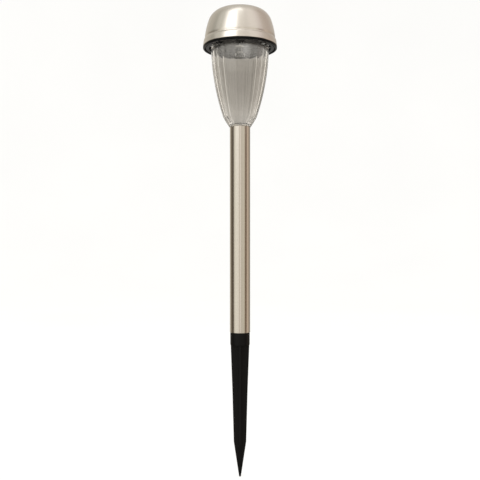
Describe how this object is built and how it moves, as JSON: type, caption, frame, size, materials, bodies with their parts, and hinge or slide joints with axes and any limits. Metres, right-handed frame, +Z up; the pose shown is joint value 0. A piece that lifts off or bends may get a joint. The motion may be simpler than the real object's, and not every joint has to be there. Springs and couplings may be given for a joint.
{
  "type": "solar garden light",
  "caption": "Solar stake light: brushed steel cap with a top solar panel over a faceted clear lens, on a slim steel post with a black cross-fin ground spike.",
  "frame": {"origin": "on the light's axis at ground level, where the lower end of the steel post meets the spike's collar", "axes": "+Z up along the post towards the cap; -Y to the front, where the switch is; +X to the right seen from the front"},
  "size_m": [0.058, 0.058, 0.3665],
  "materials": {
    "steel_sheet": "circumferentially brushed stainless",
    "steel_tube": "lengthwise brushed stainless",
    "black_housing": "satin moulded ABS",
    "black_spike": "satin moulded polypropylene",
    "clear_lens": "clear moulded plastic, polished",
    "panel_glaze": "clear potting over the solar cell",
    "solar_cell": "dark blue silicon cell",
    "cell_backing": "black laminate",
    "seal_rubber": "matt black rubber",
    "screw_steel": "zinc-plated steel",
    "board_green": "green solder mask",
    "chip_black": "moulded epoxy",
    "ferrite": "ferrite drum with a copper winding",
    "led_epoxy": "water-clear epoxy",
    "tinned_steel": "tinned steel wire",
    "battery_steel": "nickel-plated can",
    "battery_wrap": "green shrink sleeve",
    "contact_steel": "nickel-plated spring steel",
    "switch_plastic": "moulded nylon",
    "slider_plastic": "off-white nylon",
    "wire_red": "PVC insulation",
    "wire_black": "PVC insulation"
  },
  "bodies": {
    "spike": {"ground_spike": "black_spike"},
    "post": {"post_tube": "steel_tube"},
    "lens_unit": {"lens": "clear_lens", "post_seal_ring": "seal_rubber"},
    "gasket": {"lens_gasket": "seal_rubber"},
    "head": {"cap_shell": "steel_sheet", "panel_glaze": "panel_glaze", "panel_seal": "seal_rubber", "solar_cell": "solar_cell", "cell_backing": "cell_backing", "upper_housing": "black_housing", "base_plate": "black_housing", "base_screws": "screw_steel", "circuit_board": "board_green", "board_screws": "screw_steel", "driver_chip": "chip_black", "inductor": "ferrite", "led_lamp": "led_epoxy", "led_leads": "tinned_steel", "battery_can": "battery_steel", "battery_sleeve": "battery_wrap", "battery_contact_plus": "contact_steel", "battery_contact_minus": "contact_steel", "battery_spring": "contact_steel", "switch_body": "switch_plastic", "panel_wire_red": "wire_red", "panel_wire_black": "wire_black", "battery_wire_red": "wire_red", "battery_wire_black": "wire_black"},
    "switch": {"switch_slider": "slider_plastic"}
  },
  "joints": [
    {"name": "post_lift", "type": "slide", "parent": "spike", "child": "post", "axis": [0, 0, 1], "range_m": [0, 0.025]},
    {"name": "lens_lift", "type": "slide", "parent": "post", "child": "lens_unit", "axis": [0, 0, 1], "range_m": [0, 0.018]},
    {"name": "head_lift", "type": "slide", "parent": "lens_unit", "child": "gasket", "axis": [0, 0, 1], "range_m": [0, 0.025]},
    {"name": "head_twist", "type": "hinge", "parent": "gasket", "child": "head", "pos_m": [0, 0, 0.226], "axis": [0, 0, -1], "range_deg": [0, 20]},
    {"name": "switch_slide", "type": "slide", "parent": "head", "child": "switch", "axis": [1, 0, 0], "range_m": [0, 0.002]}
  ]
}
